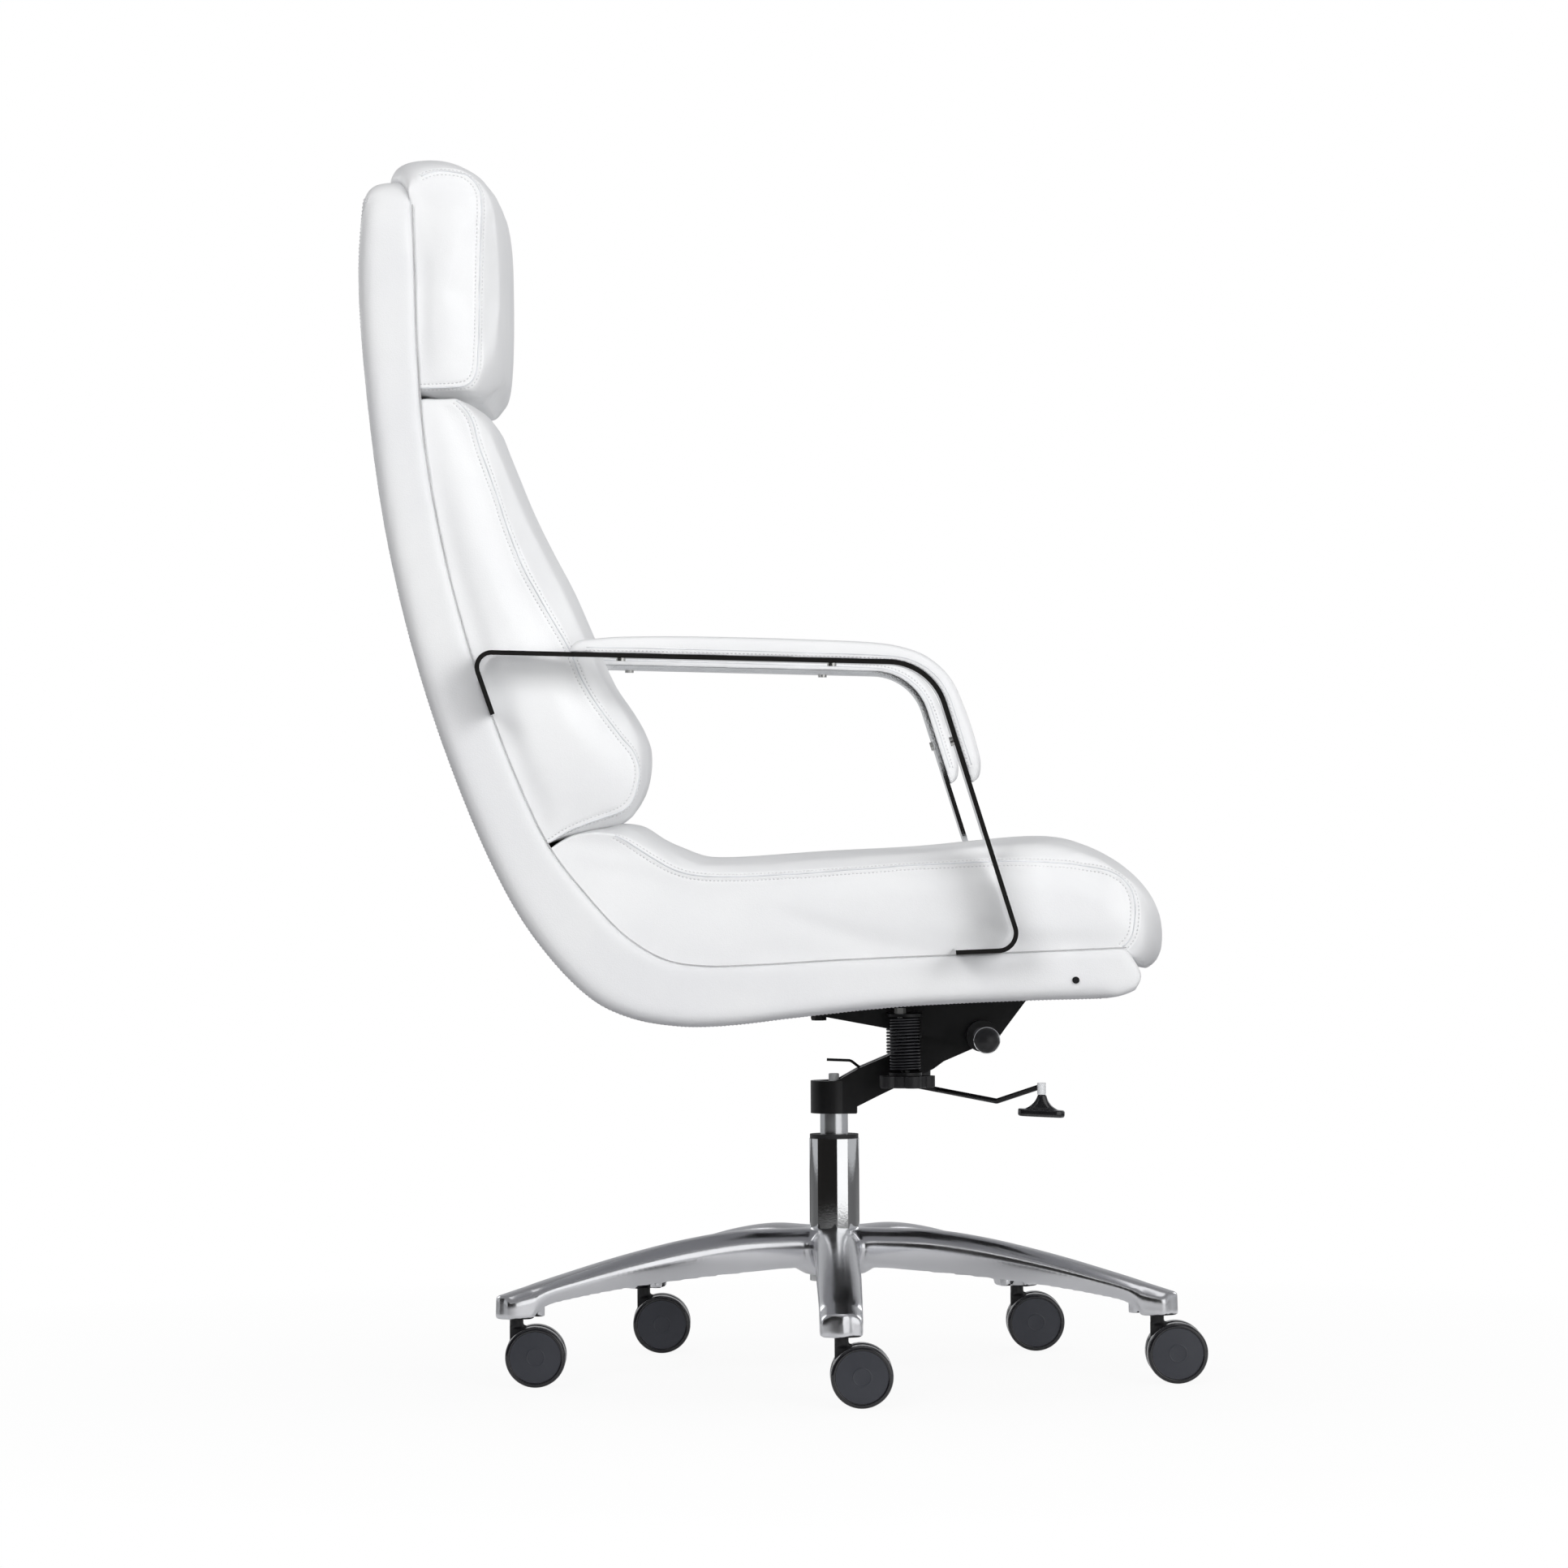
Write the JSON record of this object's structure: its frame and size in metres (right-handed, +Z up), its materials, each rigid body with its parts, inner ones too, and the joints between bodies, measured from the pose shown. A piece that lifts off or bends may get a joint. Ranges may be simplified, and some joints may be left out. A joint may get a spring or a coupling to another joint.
{
  "type": "swivel office chair",
  "caption": "High-back swivel office chair with a padded leather shell, loop arms with leather pads, gas lift, sprung tilt and a polished star base on casters.",
  "frame": {"origin": "point on the floor on the swivel axis", "axes": "+Z up along the gas column, +X towards the front of the chair, +Y towards its left side"},
  "size_m": [0.8267, 0.6625, 1.2135],
  "materials": {
    "white_leather": "satin",
    "pad_leather": "satin",
    "plywood": "matte",
    "polished_aluminium": "polished",
    "chrome": "polished",
    "black_steel": "satin",
    "spring_steel": "satin",
    "zinc_steel": "satin",
    "cylinder_steel": "polished",
    "black_plastic": "satin",
    "gloss_black_plastic": "gloss",
    "wheel_plastic": "satin",
    "grey_plastic": "satin",
    "bush_plastic": "satin",
    "rubber": "matte"
  },
  "bodies": {
    "base": {"five_star_base": "polished_aluminium", "column_tube": "chrome", "column_guide_bush": "black_plastic", "column_base_plate": "zinc_steel"},
    "swivel": {"piston_rod": "zinc_steel", "rod_retaining_clip": "zinc_steel", "thrust_bearing": "zinc_steel", "rubber_buffer": "rubber"},
    "lift": {"gas_cylinder": "cylinder_steel", "tilt_arm": "black_steel", "pivot_shaft": "zinc_steel", "tension_springs": "spring_steel", "spring_guide_studs": "black_steel"},
    "button": {"release_button": "grey_plastic"},
    "gas_lever": {"gas_lever_rod": "black_steel", "lever_ferrule": "grey_plastic", "lever_paddle": "black_plastic", "release_tongue": "black_steel"},
    "tilt_lock": {"tilt_lock_rod": "zinc_steel", "tilt_lock_collar": "chrome", "tilt_lock_knob": "gloss_black_plastic"},
    "knob_right": {"tension_knob_right": "black_plastic"},
    "knob_left": {"tension_knob_left": "black_plastic"},
    "seat": {"seat_plate": "black_steel", "pivot_bushes": "bush_plastic", "seat_plate_bolts": "black_steel", "spring_saddle_bolts": "zinc_steel", "shell_board": "plywood", "padded_shell": "white_leather", "seat_cushion": "white_leather", "back_cushion": "white_leather", "headrest_cushion": "white_leather", "arm_band_right": "chrome", "arm_band_left": "chrome", "arm_pad_right": "pad_leather", "arm_pad_left": "pad_leather", "arm_pad_screws": "zinc_steel", "arm_foot_bolts": "zinc_steel", "shell_side_studs": "black_steel"},
    "caster_1": {"caster_frame_1": "black_plastic", "caster_pins_1": "zinc_steel"},
    "wheel_right_1": {"caster_wheel_right_1": "wheel_plastic"},
    "wheel_left_1": {"caster_wheel_left_1": "wheel_plastic"},
    "caster_2": {"caster_frame_2": "black_plastic", "caster_pins_2": "zinc_steel"},
    "wheel_right_2": {"caster_wheel_right_2": "wheel_plastic"},
    "wheel_left_2": {"caster_wheel_left_2": "wheel_plastic"},
    "caster_3": {"caster_frame_3": "black_plastic", "caster_pins_3": "zinc_steel"},
    "wheel_right_3": {"caster_wheel_right_3": "wheel_plastic"},
    "wheel_left_3": {"caster_wheel_left_3": "wheel_plastic"},
    "caster_4": {"caster_frame_4": "black_plastic", "caster_pins_4": "zinc_steel"},
    "wheel_right_4": {"caster_wheel_right_4": "wheel_plastic"},
    "wheel_left_4": {"caster_wheel_left_4": "wheel_plastic"},
    "caster_5": {"caster_frame_5": "black_plastic", "caster_pins_5": "zinc_steel"},
    "wheel_right_5": {"caster_wheel_right_5": "wheel_plastic"},
    "wheel_left_5": {"caster_wheel_left_5": "wheel_plastic"}
  },
  "joints": [
    {"name": "swivel_turn", "type": "hinge", "parent": "base", "child": "swivel", "pos_m": [0, 0, 0.1], "axis": [0, 0, 1], "continuous": true},
    {"name": "height", "type": "slide", "parent": "swivel", "child": "lift", "axis": [0, 0, 1], "range_m": [0, 0.08]},
    {"name": "tilt", "type": "hinge", "parent": "lift", "child": "seat", "pos_m": [0.1475, 0, 0.341], "axis": [0, -1, 0], "range_deg": [0, 12], "stiffness_Nm_per_rad": 150, "springref_deg": -31.51, "deforming": ["tension_springs"]},
    {"name": "lever", "type": "hinge", "parent": "lift", "child": "gas_lever", "pos_m": [0.058, 0, 0.296], "axis": [0, -1, 0], "range_deg": [0, 14.8], "stiffness_Nm_per_rad": 0.4, "springref_deg": -17.19},
    {"name": "button_press", "type": "slide", "parent": "lift", "child": "button", "axis": [0, 0, -1], "range_m": [0, 0.004], "stiffness_N_per_m": 400, "springref_m": -0.002},
    {"name": "tilt_lock_slide", "type": "slide", "parent": "lift", "child": "tilt_lock", "axis": [0, -1, 0], "range_m": [0, 0.012]},
    {"name": "tension_right", "type": "hinge", "parent": "lift", "child": "knob_right", "pos_m": [0.07, -0.066, 0.297], "axis": [0, 0, 1], "range_deg": [0, 1080]},
    {"name": "tension_left", "type": "hinge", "parent": "lift", "child": "knob_left", "pos_m": [0.07, 0.066, 0.297], "axis": [0, 0, 1], "range_deg": [0, 1080]},
    {"name": "caster_swivel_1", "type": "hinge", "parent": "base", "child": "caster_1", "pos_m": [0, -0.333, 0.07], "axis": [0, 0, 1], "continuous": true},
    {"name": "wheel_spin_right_1", "type": "hinge", "parent": "caster_1", "child": "wheel_right_1", "pos_m": [0.019, -0.333, 0.03], "axis": [0, 1, 0], "continuous": true},
    {"name": "wheel_spin_left_1", "type": "hinge", "parent": "caster_1", "child": "wheel_left_1", "pos_m": [0.019, -0.333, 0.03], "axis": [0, 1, 0], "continuous": true},
    {"name": "caster_swivel_2", "type": "hinge", "parent": "base", "child": "caster_2", "pos_m": [0.3167, -0.1029, 0.07], "axis": [0, 0, 1], "continuous": true},
    {"name": "wheel_spin_right_2", "type": "hinge", "parent": "caster_2", "child": "wheel_right_2", "pos_m": [0.3357, -0.1029, 0.03], "axis": [0, 1, 0], "continuous": true},
    {"name": "wheel_spin_left_2", "type": "hinge", "parent": "caster_2", "child": "wheel_left_2", "pos_m": [0.3357, -0.1029, 0.03], "axis": [0, 1, 0], "continuous": true},
    {"name": "caster_swivel_3", "type": "hinge", "parent": "base", "child": "caster_3", "pos_m": [0.19573, 0.2694, 0.07], "axis": [0, 0, 1], "continuous": true},
    {"name": "wheel_spin_right_3", "type": "hinge", "parent": "caster_3", "child": "wheel_right_3", "pos_m": [0.21473, 0.2694, 0.03], "axis": [0, 1, 0], "continuous": true},
    {"name": "wheel_spin_left_3", "type": "hinge", "parent": "caster_3", "child": "wheel_left_3", "pos_m": [0.21473, 0.2694, 0.03], "axis": [0, 1, 0], "continuous": true},
    {"name": "caster_swivel_4", "type": "hinge", "parent": "base", "child": "caster_4", "pos_m": [-0.19573, 0.2694, 0.07], "axis": [0, 0, 1], "continuous": true},
    {"name": "wheel_spin_right_4", "type": "hinge", "parent": "caster_4", "child": "wheel_right_4", "pos_m": [-0.17673, 0.2694, 0.03], "axis": [0, 1, 0], "continuous": true},
    {"name": "wheel_spin_left_4", "type": "hinge", "parent": "caster_4", "child": "wheel_left_4", "pos_m": [-0.17673, 0.2694, 0.03], "axis": [0, 1, 0], "continuous": true},
    {"name": "caster_swivel_5", "type": "hinge", "parent": "base", "child": "caster_5", "pos_m": [-0.3167, -0.1029, 0.07], "axis": [0, 0, 1], "continuous": true},
    {"name": "wheel_spin_right_5", "type": "hinge", "parent": "caster_5", "child": "wheel_right_5", "pos_m": [-0.2977, -0.1029, 0.03], "axis": [0, 1, 0], "continuous": true},
    {"name": "wheel_spin_left_5", "type": "hinge", "parent": "caster_5", "child": "wheel_left_5", "pos_m": [-0.2977, -0.1029, 0.03], "axis": [0, 1, 0], "continuous": true}
  ],
  "couplings": [
    {"joint": "button_press", "follows": "lever", "m_per_rad": 0.015484}
  ]
}
